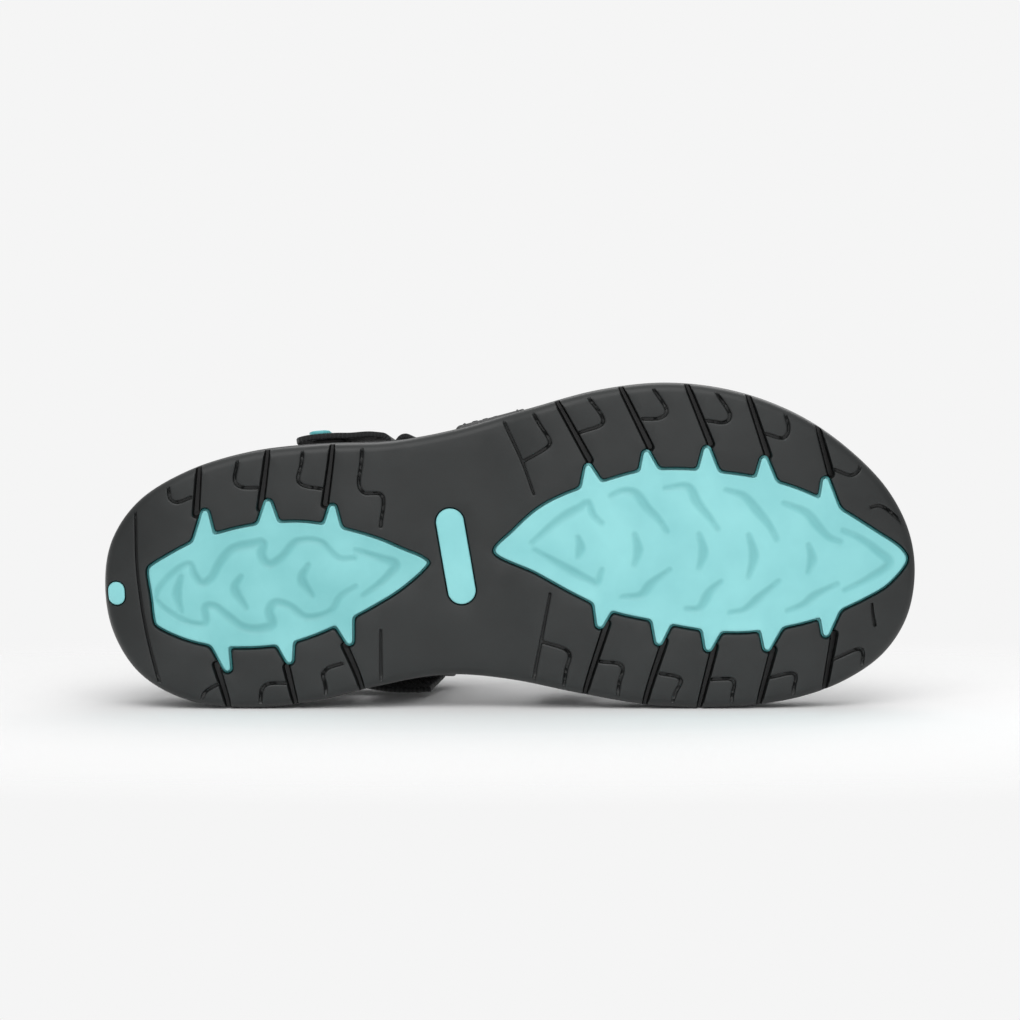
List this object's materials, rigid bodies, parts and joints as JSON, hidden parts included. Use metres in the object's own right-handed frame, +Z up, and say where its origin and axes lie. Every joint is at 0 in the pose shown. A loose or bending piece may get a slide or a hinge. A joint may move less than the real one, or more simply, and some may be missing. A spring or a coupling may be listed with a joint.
{
  "type": "sport sandal",
  "caption": "Right-foot strappy sport sandal: lugged rubber outsole with aqua tread pods, foam midsole and footbed, webbing straps closed by hook-and-loop flaps through moulded rings.",
  "frame": {"origin": "on the ground, under the middle of the sandal's box", "axes": "+X towards the toe along the sole's length, +Y towards the inner (medial) side of a right foot, +Z up from the ground"},
  "size_m": [0.2599, 0.1035, 0.1063],
  "materials": {
    "outsole_rubber": "satin moulded black rubber",
    "tread_rubber": "satin moulded aqua rubber with raised steps",
    "midsole_foam": "moulded black EVA foam, fine skin",
    "footbed_foam": "moulded grey-black EVA foam, pebbled",
    "shock_pad_foam": "soft heel foam",
    "shank_nylon": "moulded nylon",
    "strap_webbing": "woven polyester webbing",
    "soft_lining": "brushed knit lining over foam",
    "ring_nylon": "moulded black nylon",
    "loop_tape": "loop pile",
    "hook_tape": "moulded hooks",
    "tab_rubber": "welded aqua patch"
  },
  "bodies": {
    "sandal": {"outsole": "outsole_rubber", "forefoot_pod": "tread_rubber", "heel_pod": "tread_rubber", "arch_badge": "tread_rubber", "heel_badge": "tread_rubber", "midsole": "midsole_foam", "shank": "shank_nylon", "heel_shock_pad": "shock_pad_foam", "footbed": "footbed_foam", "toe_strap": "strap_webbing", "toe_lining": "soft_lining", "cross_strap": "strap_webbing", "cross_anchor": "strap_webbing", "cross_loop_patch": "loop_tape", "cross_lining": "soft_lining", "instep_strap": "strap_webbing", "instep_anchor": "strap_webbing", "instep_loop_patch": "loop_tape", "instep_pad": "soft_lining", "heel_strap": "strap_webbing", "heel_anchor": "strap_webbing", "heel_loop_patch": "loop_tape", "heel_collar_pad": "soft_lining", "lateral_quarter": "strap_webbing", "medial_quarter": "strap_webbing"},
    "cross_flap_leaf": {"cross_flap": "strap_webbing", "cross_hook_patch": "hook_tape", "cross_pull_tab": "tab_rubber"},
    "cross_loose_ring": {"cross_ring": "ring_nylon"},
    "instep_flap_leaf": {"instep_flap": "strap_webbing", "instep_hook_patch": "hook_tape", "instep_pull_tab": "tab_rubber"},
    "instep_loose_ring": {"instep_ring": "ring_nylon"},
    "heel_flap_leaf": {"heel_flap": "strap_webbing", "heel_hook_patch": "hook_tape", "heel_pull_tab": "tab_rubber"},
    "heel_loose_ring": {"heel_ring": "ring_nylon"}
  },
  "joints": [
    {"name": "cross_flap_peel", "type": "hinge", "parent": "sandal", "child": "cross_flap_leaf", "pos_m": [0.06038, -0.02256, 0.06422], "axis": [0.8783, 0.4649, 0.1116], "range_deg": [0, 150]},
    {"name": "cross_ring_swivel", "type": "hinge", "parent": "sandal", "child": "cross_loose_ring", "pos_m": [0.065, -0.0309, 0.05493], "axis": [-0.9122, -0.3797, -0.1541], "range_deg": [-3, 3]},
    {"name": "instep_flap_peel", "type": "hinge", "parent": "sandal", "child": "instep_flap_leaf", "pos_m": [-0.02536, 0.04265, 0.08069], "axis": [-0.9455, -0.0889, 0.3132], "range_deg": [0, 150]},
    {"name": "instep_ring_swivel", "type": "hinge", "parent": "sandal", "child": "instep_loose_ring", "pos_m": [-0.02923, 0.04447, 0.06792], "axis": [0.9564, 0.037, -0.2897], "range_deg": [-3, 3]},
    {"name": "heel_flap_peel", "type": "hinge", "parent": "sandal", "child": "heel_flap_leaf", "pos_m": [-0.04411, -0.03165, 0.0706], "axis": [0.1369, 0.1846, 0.9732], "range_deg": [0, 150]},
    {"name": "heel_ring_swivel", "type": "hinge", "parent": "sandal", "child": "heel_loose_ring", "pos_m": [-0.03288, -0.02719, 0.0677], "axis": [-0.1943, -0.1804, -0.9642], "range_deg": [-3, 3]}
  ]
}
